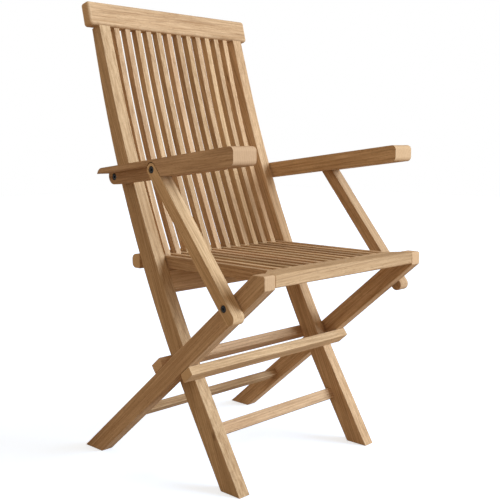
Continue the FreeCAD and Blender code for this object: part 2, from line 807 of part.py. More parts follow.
for side, sign in SIDES.items():
    stile(side, sign)
    rear_leg(side, sign)
    arm(side, sign)
    arm_support(side, sign)
top_rail()
for index in range(BACK_SLATS):
    back_slat(index)
lower_back_rail()
front_stop_rail()
front_stretcher()
rear_stop_rail()
rear_stretcher()
seat_front_rail()
for index in range(SEAT_STRIPS):
    seat_strip(index)
seat_rear_rail()
hardware()
write_parts()
print("wrote %d sub-parts" % len(nodes))
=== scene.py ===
"""The folding teak armchair as it looks: eased teak timbers, dark bolts, and a pale studio."""
import json
import math
import random

import bmesh
import bpy
from bpy.props import FloatProperty, FloatVectorProperty, PointerProperty
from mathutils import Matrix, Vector


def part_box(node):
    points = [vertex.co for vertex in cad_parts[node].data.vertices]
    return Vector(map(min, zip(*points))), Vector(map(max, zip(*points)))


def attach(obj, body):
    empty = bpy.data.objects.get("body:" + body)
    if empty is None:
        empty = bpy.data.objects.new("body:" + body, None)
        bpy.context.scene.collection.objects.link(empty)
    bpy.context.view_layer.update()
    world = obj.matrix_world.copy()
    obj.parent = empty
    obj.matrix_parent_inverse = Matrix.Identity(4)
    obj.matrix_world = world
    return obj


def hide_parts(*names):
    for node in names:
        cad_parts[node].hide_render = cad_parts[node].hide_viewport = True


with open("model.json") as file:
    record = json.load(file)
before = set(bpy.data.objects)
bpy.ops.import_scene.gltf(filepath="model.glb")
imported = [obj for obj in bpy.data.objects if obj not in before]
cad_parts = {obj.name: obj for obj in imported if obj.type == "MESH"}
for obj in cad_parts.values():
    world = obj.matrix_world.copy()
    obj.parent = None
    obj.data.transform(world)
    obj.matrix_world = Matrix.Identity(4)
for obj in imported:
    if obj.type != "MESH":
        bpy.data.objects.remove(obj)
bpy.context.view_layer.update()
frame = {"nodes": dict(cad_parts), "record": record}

bl_info = {
    "name": "Folding Teak Armchair",
    "version": (1, 0, 0),
    "blender": (4, 5, 0),
    "location": "3D View > Sidebar > Armchair",
    "description": "Dresses the folding armchair's frame with teak timbers, bolts and a studio",
    "category": "Add Mesh",
}

SIDES = {"right": -1.0, "left": 1.0}
ACROSS = Vector((1.0, 0.0, 0.0))
BACKWARD = Vector((0.0, 1.0, 0.0))
WHITE = (1.0, 1.0, 1.0)

# The slats, the strips and each node's body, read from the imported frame.
BACK_SLATS = sorted(name for name in frame["nodes"] if name.startswith("back_slat_"))
SEAT_STRIPS = sorted(name for name in frame["nodes"] if name.startswith("seat_strip_"))
BODY_OF = {node: body for body, nodes in frame["record"]["behaviour"]["bodies"].items() for node in nodes}

# The teak of each slot: its material, how strongly its boards differ in tone, and how much its eased edges
# are lightened, partly for wear and partly as a painted highlight.
TEAKS = {
    "teak_frame": ("Teak of the frame", 0.10, 0.35),
    "teak_slats": ("Teak of the slats", 0.20, 0.30),
    "teak_arms": ("Teak of the arms", 0.12, 0.45),
}

# Boards given one by one: a mark for the log that each is sawn from, and its tone from 0, dark, to 1, pale.
PICKED_BOARDS = {
    "arm_right": ("", 0.0),
    "arm_left": ("", 0.9),
    "arm_support_right": ("", 0.95),
    "stile_right": ("", 0.1),
    "rear_leg_left": (" 4", 1.0),
    "seat_front_rail": (" 5", 0.5),
    "top_rail": ("", 0.6),
    "front_stretcher": ("", 0.3),
}


# Sizes and colours.
class TimberSizes(bpy.types.PropertyGroup):
    """How the timbers' edges are eased, and how their grain runs."""

    frame_ease: FloatProperty(
        name="Frame edges", description="Rounding of the stiles', legs' and rails' edges",
        default=0.0018, min=0.0, max=0.004, subtype="DISTANCE", unit="LENGTH", precision=4)
    slat_ease: FloatProperty(
        name="Slat edges", description="Rounding of the back slats' and seat strips' edges",
        default=0.0010, min=0.0, max=0.003, subtype="DISTANCE", unit="LENGTH", precision=4)
    arm_ease: FloatProperty(
        name="Arm edges", description="Rounding of the arms' and supports' edges",
        default=0.0013, min=0.0, max=0.004, subtype="DISTANCE", unit="LENGTH", precision=4)
    rail_ease: FloatProperty(
        name="Top rail edges", description="Rounding of the top rail's edges",
        default=0.0070, min=0.0, max=0.008, subtype="DISTANCE", unit="LENGTH", precision=4)
    hole_ease: FloatProperty(
        name="Hole rims", description="Rounding of the bored holes' rims",
        default=0.0004, min=0.0, max=0.001, subtype="DISTANCE", unit="LENGTH", precision=4)
    stile_grain_lean: FloatProperty(
        name="Stile grain", description="Lean of the grain in the sawn, curved stiles and back slats",
        default=math.radians(22.5), subtype="ANGLE", unit="ROTATION")
    leg_lean: FloatProperty(
        name="Leg lean", description="Lean of the folding legs from the vertical",
        default=math.radians(-49.72), subtype="ANGLE", unit="ROTATION")
    arm_lean: FloatProperty(
        name="Arm lean", description="Lean of the arms' boards from the vertical",
        default=math.radians(-83.02), subtype="ANGLE", unit="ROTATION")
    support_lean: FloatProperty(
        name="Support lean", description="Lean of the arm supports from the vertical",
        default=math.radians(38.95), subtype="ANGLE", unit="ROTATION")


class TeakFinish(bpy.types.PropertyGroup):
    """The colours and grain of the teak."""

    light: FloatVectorProperty(
        name="Light wood", description="Colour of the pale wood between growth rings",
        default=(0.672, 0.464, 0.280), min=0.0, max=1.0, size=3, subtype="COLOR")
    dark: FloatVectorProperty(
        name="Dark wood", description="Colour of the dark bands of the growth rings",
        default=(0.335, 0.186, 0.086), min=0.0, max=1.0, size=3, subtype="COLOR")
    pore: FloatVectorProperty(
        name="Pores and knots", description="Colour of the dark pores, veins and small knots",
        default=(0.170, 0.085, 0.038), min=0.0, max=1.0, size=3, subtype="COLOR")
    # The eased edges' colour: partly wear where hands and shoes rub them, partly a painted highlight along
    # the rounded edges.
    worn_and_highlit: FloatVectorProperty(
        name="Worn and highlit edges", description="Colour of the eased edges where hands and shoes rub them, and of their painted highlight",
        default=(0.700, 0.510, 0.320), min=0.0, max=1.0, size=3, subtype="COLOR")
    ring_width: FloatProperty(
        name="Ring width", description="Distance between growth rings",
        default=0.0055, min=0.001, max=0.02, subtype="DISTANCE", unit="LENGTH", precision=4)
    roughness: FloatProperty(
        name="Roughness", description="Roughness of the sanded, lightly oiled wood",
        default=0.72, min=0.0, max=1.0, subtype="FACTOR")


class SteelFinish(bpy.types.PropertyGroup):
    """The colours of the steel, and the sizes of the bolts."""

    dark: FloatVectorProperty(
        name="Bolts", description="Colour of the dark bolts",
        default=(0.012, 0.011, 0.010), min=0.0, max=1.0, size=3, subtype="COLOR")
    bare: FloatVectorProperty(
        name="Pins and washers", description="Colour of the plain steel between the timbers",
        default=(0.420, 0.400, 0.370), min=0.0, max=1.0, size=3, subtype="COLOR")
    socket_wide: FloatProperty(
        name="Socket", description="Width across the flats of the bolt heads' sockets",
        default=0.005, min=0.002, max=0.008, subtype="DISTANCE", unit="LENGTH", precision=4)
    socket_deep: FloatProperty(
        name="Socket depth", description="Depth of the bolt heads' sockets",
        default=0.0018, min=0.0005, max=0.0025, subtype="DISTANCE", unit="LENGTH", precision=4)
    shank_wide: FloatProperty(
        name="Shank", description="Width of the bolts' shanks",
        default=0.008, min=0.004, max=0.012, subtype="DISTANCE", unit="LENGTH", precision=4)
    head_thick: FloatProperty(
        name="Head", description="Thickness of the bolts' heads",
        default=0.003, min=0.001, max=0.005, subtype="DISTANCE", unit="LENGTH", precision=4)


class StudioSetup(bpy.types.PropertyGroup):
    """The camera, the floor and the lamps."""

    camera_place: FloatVectorProperty(
        name="Camera", description="Where the camera stands",
        default=(-1.3163, -1.28275, 0.6752), size=3, subtype="TRANSLATION", unit="LENGTH")
    camera_turn: FloatVectorProperty(
        name="Camera turn", description="How the camera is turned",
        default=(math.radians(83.622), 0.0, math.radians(-45.81)), size=3, subtype="EULER", unit="ROTATION")
    lens: FloatProperty(
        name="Lens", description="Focal length on a 36 mm sensor, in millimetres",
        default=61.70, min=10.0, max=200.0)
    frame_shift: FloatProperty(
        name="Shift", description="Vertical shift of the lens, as a share of the frame",
        default=-0.0268, min=-0.1, max=0.1)
    floor_wide: FloatProperty(
        name="Floor", description="Width of the floor",
        default=16.0, min=2.0, max=50.0, subtype="DISTANCE", unit="LENGTH")
    floor_colour: FloatVectorProperty(
        name="Floor colour", description="Colour of the floor where the camera sees it",
        default=(0.58, 0.70, 0.90), min=0.0, max=1.0, size=3, subtype="COLOR")
    floor_bounce: FloatVectorProperty(
        name="Floor bounce", description="Colour of the floor as it lights the chair from below",
        default=(0.44, 0.325, 0.215), min=0.0, max=1.0, size=3, subtype="COLOR")
    floor_glow: FloatProperty(
        name="Floor glow", description="White added to the floor where the camera sees it",
        default=0.62, min=0.0, max=1.0)
    key_colour: FloatVectorProperty(
        name="Key colour", description="Colour of the key lamp",
        default=(0.705, 0.847, 1.0), min=0.0, max=1.0, size=3, subtype="COLOR")
    key_strength: FloatProperty(
        name="Key lamp", description="Strength of the broad lamp in front of the chair",
        default=4.46, min=0.0, max=10.0)
    key_from: FloatVectorProperty(
        name="Key from", description="Direction from the chair to the key lamp",
        default=(0.550, -0.763, 0.342), size=3, subtype="DIRECTION")
    key_spread: FloatProperty(
        name="Key spread", description="Angle that the key lamp fills, which softens its shadows",
        default=math.radians(38.0), subtype="ANGLE", unit="ROTATION")
    back_colour: FloatVectorProperty(
        name="Back lamp colour", description="Colour of the weaker lamp behind the chair",
        default=(1.0, 0.92, 0.82), min=0.0, max=1.0, size=3, subtype="COLOR")
    back_strength: FloatProperty(
        name="Back lamp", description="Strength of the lamp that shows the back, level with the floor",
        default=1.3, min=0.0, max=10.0)
    back_from: FloatVectorProperty(
        name="Back lamp from", description="Direction from the chair to the back lamp",
        default=(0.0, 1.0, 0.0), size=3, subtype="DIRECTION")
    back_spread: FloatProperty(
        name="Back lamp spread", description="Angle that the back lamp fills",
        default=math.radians(20.0), subtype="ANGLE", unit="ROTATION")
    fill_colour: FloatVectorProperty(
        name="Fill colour", description="Colour of the soft light from all around",
        default=(1.0, 0.83, 0.63), min=0.0, max=1.0, size=3, subtype="COLOR")
    fill_strength: FloatProperty(
        name="Fill", description="Strength of the soft light from all around",
        default=0.54, min=0.0, max=2.0)


class ArmchairSettings(bpy.types.PropertyGroup):
    """Everything a user would change."""

    timber: PointerProperty(type=TimberSizes)
    teak: PointerProperty(type=TeakFinish)
    steel: PointerProperty(type=SteelFinish)
    studio: PointerProperty(type=StudioSetup)


# Meshes.
# What counts as one point, one flat face, an outer corner, a sharp edge and a strip of a hole's wall.
SAME_POINT = 1e-5
FLAT_ANGLE = math.radians(0.3)
CORNER_ANGLE = math.radians(25.0)
SHARP_ANGLE = math.radians(40.0)
HOLE_STRIP_AREA = 2.5e-5

# An edge runs along the grain, and a face is cut across it, past these cosines.
RUNS_ALONG = 0.7
CUT_ACROSS = 0.6

# Rounded edges have few steps below the wide ease, and more from there on.
WIDE_EASE = 0.002
FEW_STEPS = 3
MORE_STEPS = 6
RIM_STEPS = 1

# A log's length, how far its boards lie from the pith, and how far they stray from it in a metre.
LOG_LENGTH = 40.0
FROM_PITH = (0.045, 0.13)
STRAY = 0.035


def leaning(angle):
    """The direction of a timber in the side view, leaning back from the vertical."""
    return Vector((0.0, math.sin(angle), math.cos(angle))).normalized()


def copy_of_node(node):
    """A bmesh of a CAD node's surface, its triangles merged into the faces they make up."""
    bm = bmesh.new()
    bm.from_mesh(frame["nodes"][node].data)
    bmesh.ops.remove_doubles(bm, verts=bm.verts, dist=SAME_POINT)
    bmesh.ops.dissolve_limit(bm, angle_limit=FLAT_ANGLE, verts=bm.verts, edges=bm.edges)
    bm.normal_update()
    return bm


def in_a_hole(face):
    """Whether a face is a narrow strip of a bored hole's wall."""
    hollow = any(len(edge.link_faces) == 2 and not edge.is_convex for edge in face.edges)
    return hollow and face.calc_area() < HOLE_STRIP_AREA


def sharp_convex(edge):
    """Whether an edge is an outer corner."""
    return len(edge.link_faces) == 2 and edge.is_convex and edge.calc_face_angle() > CORNER_ANGLE


def round_edges(bm, edges, radius, segments, eased):
    """Round some edges, and mark the new faces as eased."""
    if not edges:
        return
    result = bmesh.ops.bevel(
        bm, geom=edges, offset=radius, offset_type="OFFSET", segments=segments, profile=0.5,
        affect="EDGES", clamp_overlap=True, material=-1)
    for face in result["faces"]:
        face[eased] = 1.0


def grain_frame(name, along):
    """A place in a log for this timber, so that no two timbers share their grain."""
    log, tone = PICKED_BOARDS.get(name, ("", None))
    luck = random.Random(name + log)
    side = BACKWARD if along == ACROSS else ACROSS
    third = along.cross(side).normalized()
    side = third.cross(along).normalized()
    from_pith = luck.uniform(*FROM_PITH)
    turn = luck.uniform(0.0, math.tau)
    return {
        "axes": (along, side, third),
        "start": luck.uniform(0.0, LOG_LENGTH),
        "pith": (from_pith * math.cos(turn), from_pith * math.sin(turn)),
        "stray": (luck.uniform(-STRAY, STRAY), luck.uniform(-STRAY, STRAY)),
        "tone": luck.random() if tone is None else tone,
    }


def in_grain(log, point, middle):
    """A point of a timber as a place in its log: along the grain, and across it from the pith."""
    along, side, third = (axis.dot(point - middle) for axis in log["axes"])
    return Vector((
        log["start"] + along,
        log["pith"][0] + side + log["stray"][0] * along,
        log["pith"][1] + third + log["stray"][1] * along))


def finish_mesh(bm, name, material):
    """A shown object from a bmesh, smooth but for its sharp edges."""
    mesh = bpy.data.meshes.new(name)
    bm.to_mesh(mesh)
    bm.free()
    mesh.materials.append(material)
    mesh.shade_smooth()
    mesh.set_sharp_from_angle(angle=SHARP_ANGLE)
    piece = bpy.data.objects.new(name, mesh)
    bpy.context.scene.collection.objects.link(piece)
    return piece


def left_sharp(edge, along, middle, ends):
    """Whether a timber's outer corner lies in a joint, where nobody rounds it."""
    start, end = (vert.co for vert in edge.verts)
    runs_along = abs((end - start).normalized().dot(along)) > RUNS_ALONG
    if runs_along or ends == "free":
        return False
    return ends == "none" or (start + end).z / 2 >= middle.z


def ease_timber(bm, along, middle, ease, ends):
    """Round a timber's outer corners, break the rims of its holes, and mark both as eased."""
    eased = bm.faces.layers.float.new("eased")
    corners = [edge for edge in bm.edges if sharp_convex(edge)]
    rims = [edge for edge in corners if any(in_a_hole(face) for face in edge.link_faces)]
    outer = [edge for edge in corners if edge not in rims and not left_sharp(edge, along, middle, ends)]
    round_edges(bm, outer, ease, FEW_STEPS if ease < WIDE_EASE else MORE_STEPS, eased)
    rims = [edge for edge in rims if edge.is_valid]
    round_edges(bm, rims, bpy.context.scene.armchair.timber.hole_ease, RIM_STEPS, eased)


def lay_grain(bm, node, along, middle):
    """Give each point its place in the log and its board's tone, and mark the faces cut across the grain."""
    grain = bm.verts.layers.float_vector.new("grain")
    board = bm.verts.layers.float.new("board")
    cross_cut = bm.faces.layers.float.new("cross_cut")
    log = grain_frame(node, along)
    for vert in bm.verts:
        vert[grain] = in_grain(log, vert.co, middle)
        vert[board] = log["tone"]
    for face in bm.faces:
        face[cross_cut] = 1.0 if abs(face.normal.dot(along)) > CUT_ACROSS else 0.0


def dress_timber(node, along, ease, slot, ends="free"):
    """A teak timber over its CAD node: eased edges, with the grain along it.

    ends is free where both ends show, foot where only the lower does, and none at glued joints.
    """
    low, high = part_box(node)
    middle = (low + high) / 2
    bm = copy_of_node(node)
    ease_timber(bm, along, middle, ease, ends)
    lay_grain(bm, node, along, middle)
    material = TEAKS[slot][0]
    piece = finish_mesh(bm, "teak_" + node, bpy.data.materials[material])
    flat = piece.modifiers.new("Flat faces", "WEIGHTED_NORMAL")
    flat.keep_sharp = True
    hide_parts(node)
    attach(piece, BODY_OF[node])


# Bolts.
# A bolt head's chamfer and where it bends, the socket's mouth, cone and sides, and the steps of a full turn.
HEAD_CHAMFER = 0.0007
CHAMFER_BEND = 0.3
SOCKET_MOUTH = 0.0003
SOCKET_CONE = 0.0006
SOCKET_SIDES = 6
TURN_STEPS = 48

# How near a turned point is to the one meant, and how near two points are to be one.
NEAR = 0.0001
SAME_TURNED_POINT = 1e-6


def inner_end(node, sign):
    """How far in toward the middle the bolt on this side of the chair reaches."""
    reach = [vert.co.x for vert in frame["nodes"][node].data.vertices if vert.co.x * sign > 0]
    return min(reach) if sign > 0 else max(reach)


def turned_bolt(bm, node, sign):
    """A bolt turned about its own axis: a chamfered head with a six-sided socket, and its shank."""
    steel = bpy.context.scene.armchair.steel
    low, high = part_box(node)
    centre = (low + high) / 2
    outer = high.x if sign > 0 else low.x
    length = abs(outer - inner_end(node, sign))
    head = (high.z - low.z) / 2
    flat = steel.socket_wide / 2
    shank = steel.shank_wide / 2
    profile = [
        (steel.socket_deep + SOCKET_CONE, 0.0),
        (steel.socket_deep, flat),
        (SOCKET_MOUTH, flat),
        (0.0, flat + SOCKET_MOUTH),
        (0.0, head - HEAD_CHAMFER),
        (HEAD_CHAMFER * CHAMFER_BEND, head - HEAD_CHAMFER * CHAMFER_BEND),
        (HEAD_CHAMFER, head),
        (steel.head_thick, head),
        (steel.head_thick, shank),
        (length, shank),
        (length, 0.0),
    ]
    verts = [bm.verts.new((outer - sign * depth, centre.y, centre.z + radius)) for depth, radius in profile]
    edges = [bm.edges.new(pair) for pair in zip(verts, verts[1:])]
    bmesh.ops.spin(
        bm, geom=verts + edges, cent=centre, axis=ACROSS, angle=math.tau, steps=TURN_STEPS, use_merge=True)
    bmesh.ops.remove_doubles(bm, verts=bm.verts, dist=SAME_TURNED_POINT)

    # The socket is turned round, so its points are moved out to six flats.
    wedge = math.tau / SOCKET_SIDES
    for vert in bm.verts:
        depth = abs(vert.co.x - outer)
        off = Vector((0.0, vert.co.y - centre.y, vert.co.z - centre.z))
        in_socket = SOCKET_MOUTH - NEAR < depth < steel.socket_deep + NEAR
        if in_socket and abs(off.length - flat) < NEAR:
            turn = math.atan2(off.z, off.y) % wedge - wedge / 2
            off *= 1.0 / math.cos(turn)
            vert.co = Vector((vert.co.x, centre.y + off.y, centre.z + off.z))


def dress_bolts(node, signs):
    """Dark bolts over a CAD node, on the sides of the chair that the signs give."""
    bm = bmesh.new()
    for sign in signs:
        turned_bolt(bm, node, sign)
    bmesh.ops.recalc_face_normals(bm, faces=bm.faces)
    piece = finish_mesh(bm, "bolt_" + node, bpy.data.materials["Dark bolts"])
    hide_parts(node)
    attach(piece, BODY_OF[node])


# Shader nodes.
# The places of a Mix node's colour sockets.
MIX_FACTOR = 0
MIX_FIRST = 6
MIX_SECOND = 7
MIX_RESULT = 2

# All of a value's range, the part that most of a noise texture's values are in, and their middle.
FULL_RANGE = (0.0, 1.0)
NOISE_RANGE = (0.30, 0.70)
NOISE_MIDDLE = 0.5


def new_group(name, inputs, outputs):
    """An empty shader node group with named sockets."""
    group = bpy.data.node_groups.new(name, "ShaderNodeTree")
    for label, kind, default in inputs:
        socket = group.interface.new_socket(name=label, in_out="INPUT", socket_type=kind)
        if default is not None:
            socket.default_value = default
    for label in outputs:
        group.interface.new_socket(name=label, in_out="OUTPUT", socket_type="NodeSocketFloat")
    return group


def add(tree, kind, **values):
    """A node with its settings and its sockets' values."""
    node = tree.nodes.new(kind)
    for name, value in values.items():
        if hasattr(node, name):
            setattr(node, name, value)
        else:
            node.inputs[name.replace("_", " ")].default_value = value
    return node


def maths(tree, operation, *feeds, clamp=False):
    """A Math node fed by sockets or plain numbers."""
    node = tree.nodes.new("ShaderNodeMath")
    node.operation = operation
    node.use_clamp = clamp
    for socket, feed in zip(node.inputs, feeds):
        if isinstance(feed, bpy.types.NodeSocket):
            tree.links.new(feed, socket)
        else:
            socket.default_value = feed
    return node.outputs[0]


def mixed(tree, factor, first, second):
    """A mix of two colours, each a socket or a plain colour, by a factor from a socket."""
    node = add(tree, "ShaderNodeMix", data_type="RGBA")
    tree.links.new(factor, node.inputs[MIX_FACTOR])
    for index, feed in ((MIX_FIRST, first), (MIX_SECOND, second)):
        if isinstance(feed, bpy.types.NodeSocket):
            tree.links.new(feed, node.inputs[index])
        else:
            node.inputs[index].default_value = (*feed, 1.0)
    return node.outputs[MIX_RESULT]


def remap(tree, value, given, wanted=FULL_RANGE):
    """A value moved from a given range to the wanted one, and kept inside it."""
    node = add(tree, "ShaderNodeMapRange", From_Min=given[0], From_Max=given[1],
               To_Min=wanted[0], To_Max=wanted[1])
    tree.links.new(value, node.inputs["Value"])
    return node.outputs[0]


def stretched(tree, vector, along):
    """Grain coordinates squeezed along the grain, which stretches a texture there."""
    node = add(tree, "ShaderNodeVectorMath", operation="MULTIPLY")
    tree.links.new(vector, node.inputs[0])
    node.inputs[1].default_value = (along, 1.0, 1.0)
    return node.outputs[0]


def noise(tree, vector, scale, detail, rough):
    """A noise texture's value."""
    node = add(tree, "ShaderNodeTexNoise", Scale=scale, Detail=detail, Roughness=rough)
    tree.links.new(vector, node.inputs["Vector"])
    return node.outputs["Fac"]


def group_node(tree, name):
    """A node group placed in a material."""
    node = tree.nodes.new("ShaderNodeGroup")
    node.node_tree = bpy.data.node_groups[name]
    return node


def attribute(tree, name, output):
    """A piece's own attribute."""
    node = add(tree, "ShaderNodeAttribute", attribute_name=name)
    return node.outputs[output]


def new_material(name):
    """The node tree and the Principled shader of a new material."""
    material = bpy.data.materials.new(name)
    material.use_nodes = True
    tree = material.node_tree
    return tree, tree.nodes["Principled BSDF"]


def bumped(tree, shader, height, strength, distance):
    """Small relief in a material's surface."""
    bump = add(tree, "ShaderNodeBump", Strength=strength, Distance=distance)
    tree.links.new(height, bump.inputs["Height"])
    tree.links.new(bump.outputs[0], shader.inputs["Normal"])


# Teak.
# How far apart a wave texture of scale 1 has its rings.
WAVE_STEP = 0.314

# How pale the wood is at places on its way from one growth ring to the next.
RING_PROFILE = ((0.0, 0.45), (0.40, 1.0), (0.86, 0.60), (1.0, 0.0))

# The ranges of noise that show as streaks, pores, and patches along the eased edges that are lightened,
# partly for wear and partly as a painted highlight.
STREAK_RANGE = (0.34, 0.66)
PORE_RANGE = (0.60, 0.70)
WEAR_AND_HIGHLIGHT_RANGE = (0.38, 0.62)

# How wide a vein is in its noise, where a knot's core and rim are, and how ragged the rim is.
VEIN_WIDTH = 0.045
KNOT_RANGE = (0.025, 0.075)
KNOT_RAGGED = 0.05

# What each part of the figure adds to the wood's lightness: its own range, and the range that it adds.
FIGURE = {
    "Rings": (FULL_RANGE, (0.0, 0.34)),
    "Streaks": (FULL_RANGE, (0.0, 0.52)),
    "Tone": (NOISE_RANGE, (0.0, 0.28)),
    "Fibres": (NOISE_RANGE, (-0.19, 0.19)),
}

# How much end grain takes the place of the figure on a sawn end, and how light its rings are.
END_GRAIN_SHARE = 0.8
END_GRAIN_LIGHTNESS = (0.60, 0.85)

# How dark the veins, pores and knots show.
DARK_MARKS = {"Veins": 0.28, "Pores": 0.40}
KNOT_SHARE = 0.62

# Pale boards differ less than dark ones, and each board's hue is drawn from its tone.
PALE_SHARE = 0.6
HUE_STEP = 7.3
HUE_RANGE = (0.496, 0.504)

# How the roughness spreads, how much smoother the rubbed edges are, how much of the relief is fibres, and
# the faint gloss of sanded wood.
ROUGHNESS_SPREAD = (-0.06, 0.08)
RUBBED_SMOOTHER = 0.12
FIBRE_RELIEF = 0.5
TEAK_SPECULAR = 0.02


def ring_profile(tree, place):
    """How pale the wood is at a place between two growth rings."""
    ramp = add(tree, "ShaderNodeValToRGB")
    ramp.color_ramp.interpolation = "B_SPLINE"
    stops = ramp.color_ramp.elements
    first, *between, last = RING_PROFILE
    for stop, (position, pale) in zip(stops, (first, last)):
        stop.position = position
        stop.color = (pale, pale, pale, 1.0)
    for position, pale in between:
        stops.new(position).color = (pale, pale, pale, 1.0)
    tree.links.new(place, ramp.inputs["Fac"])
    return ramp.outputs["Color"]


def teak_grain_group():
    """The figure of teak, from a place in the log: rings, streaks, veins, fibres, pores, knots and tone."""
    group = new_group(
        "Teak grain",
        [("Grain", "NodeSocketVector", None), ("Ring Scale", "NodeSocketFloat", 57.0)],
        ["Rings", "Streaks", "Veins", "Fibres", "Pores", "Knots", "Tone"])
    source = add(group, "NodeGroupInput")
    result = add(group, "NodeGroupOutput")
    grain = source.outputs["Grain"]

    rings = add(group, "ShaderNodeTexWave", wave_type="RINGS", rings_direction="X", wave_profile="SAW",
                Distortion=2.6, Detail=2.0, Detail_Scale=0.35, Detail_Roughness=0.55)
    group.links.new(stretched(group, grain, along=0.06), rings.inputs["Vector"])
    group.links.new(source.outputs["Ring Scale"], rings.inputs["Scale"])
    group.links.new(ring_profile(group, rings.outputs["Fac"]), result.inputs["Rings"])

    streaks = noise(group, stretched(group, grain, along=0.022), scale=230.0, detail=4.0, rough=0.68)
    group.links.new(remap(group, streaks, STREAK_RANGE), result.inputs["Streaks"])
    veins = noise(group, stretched(group, grain, along=0.010), scale=95.0, detail=2.0, rough=0.5)
    off_line = maths(group, "ABSOLUTE", maths(group, "SUBTRACT", veins, NOISE_MIDDLE))
    group.links.new(remap(group, off_line, (0.0, VEIN_WIDTH), (1.0, 0.0)), result.inputs["Veins"])
    fibres = noise(group, stretched(group, grain, along=0.02), scale=900.0, detail=3.0, rough=0.6)
    group.links.new(fibres, result.inputs["Fibres"])
    pores = noise(group, stretched(group, grain, along=0.07), scale=1500.0, detail=1.0, rough=0.4)
    group.links.new(remap(group, pores, PORE_RANGE), result.inputs["Pores"])

    spots = add(group, "ShaderNodeTexVoronoi", feature="F1", Scale=15.0)
    group.links.new(stretched(group, grain, along=0.45), spots.inputs["Vector"])
    ragged = maths(group, "MULTIPLY", maths(group, "SUBTRACT", fibres, NOISE_MIDDLE), KNOT_RAGGED)
    reach = maths(group, "ADD", spots.outputs["Distance"], ragged)
    group.links.new(remap(group, reach, KNOT_RANGE, (1.0, 0.0)), result.inputs["Knots"])
    tone = noise(group, stretched(group, grain, along=0.12), scale=22.0, detail=3.0, rough=0.55)
    group.links.new(tone, result.inputs["Tone"])


def edge_wear_and_highlight_group():
    """Where the eased edges are lightened, partly rubbed and partly a painted highlight: patchy along the
    edge.
    """
    group = new_group(
        "Edge wear and highlight",
        [("Place", "NodeSocketVector", None), ("Eased", "NodeSocketFloat", 0.0),
         ("Patch Scale", "NodeSocketFloat", 40.0)],
        ["Wear"])
    source = add(group, "NodeGroupInput")
    result = add(group, "NodeGroupOutput")
    patches = add(group, "ShaderNodeTexNoise", Detail=4.0, Roughness=0.6)
    group.links.new(source.outputs["Place"], patches.inputs["Vector"])
    group.links.new(source.outputs["Patch Scale"], patches.inputs["Scale"])
    # Patches of the eased edges, lightened partly for wear and partly as a painted highlight.
    rubbed_and_highlit = remap(group, patches.outputs["Fac"], WEAR_AND_HIGHLIGHT_RANGE)
    group.links.new(maths(group, "MULTIPLY", rubbed_and_highlit, source.outputs["Eased"]), result.inputs["Wear"])


def figured_wood(tree, figure, teak):
    """The wood's colour from its figure, which is plainer on sawn ends."""
    rings, streaks, tone, fibres = (
        remap(tree, figure.outputs[part], given, added) for part, (given, added) in FIGURE.items())
    lightness = maths(tree, "ADD", maths(tree, "ADD", rings, streaks), tone)
    lightness = maths(tree, "ADD", lightness, fibres, clamp=True)
    cut = maths(tree, "MULTIPLY", attribute(tree, "cross_cut", "Fac"), END_GRAIN_SHARE)
    uncut = maths(tree, "SUBTRACT", 1.0, cut)
    end_grain = remap(tree, figure.outputs["Rings"], FULL_RANGE, END_GRAIN_LIGHTNESS)
    lightness = maths(tree, "ADD", maths(tree, "MULTIPLY", lightness, uncut),
                      maths(tree, "MULTIPLY", end_grain, cut))

    wood = mixed(tree, lightness, teak.dark, teak.light)
    for marks, share in DARK_MARKS.items():
        shown = maths(tree, "MULTIPLY", figure.outputs[marks], maths(tree, "MULTIPLY", uncut, share))
        wood = mixed(tree, shown, wood, teak.pore)
    return mixed(tree, maths(tree, "MULTIPLY", figure.outputs["Knots"], KNOT_SHARE), wood, teak.pore)


def board_by_board(tree, wood, depth):
    """The wood's colour, a little darker or paler, and redder or yellower, from board to board."""
    board = attribute(tree, "board", "Fac")
    shade = add(tree, "ShaderNodeHueSaturation")
    value = remap(tree, board, FULL_RANGE, (1.0 - depth, 1.0 + depth * PALE_SHARE))
    tree.links.new(value, shade.inputs["Value"])
    hue = maths(tree, "FRACT", maths(tree, "MULTIPLY", board, HUE_STEP))
    tree.links.new(remap(tree, hue, FULL_RANGE, HUE_RANGE), shade.inputs["Hue"])
    tree.links.new(wood, shade.inputs["Color"])
    return shade.outputs[0]


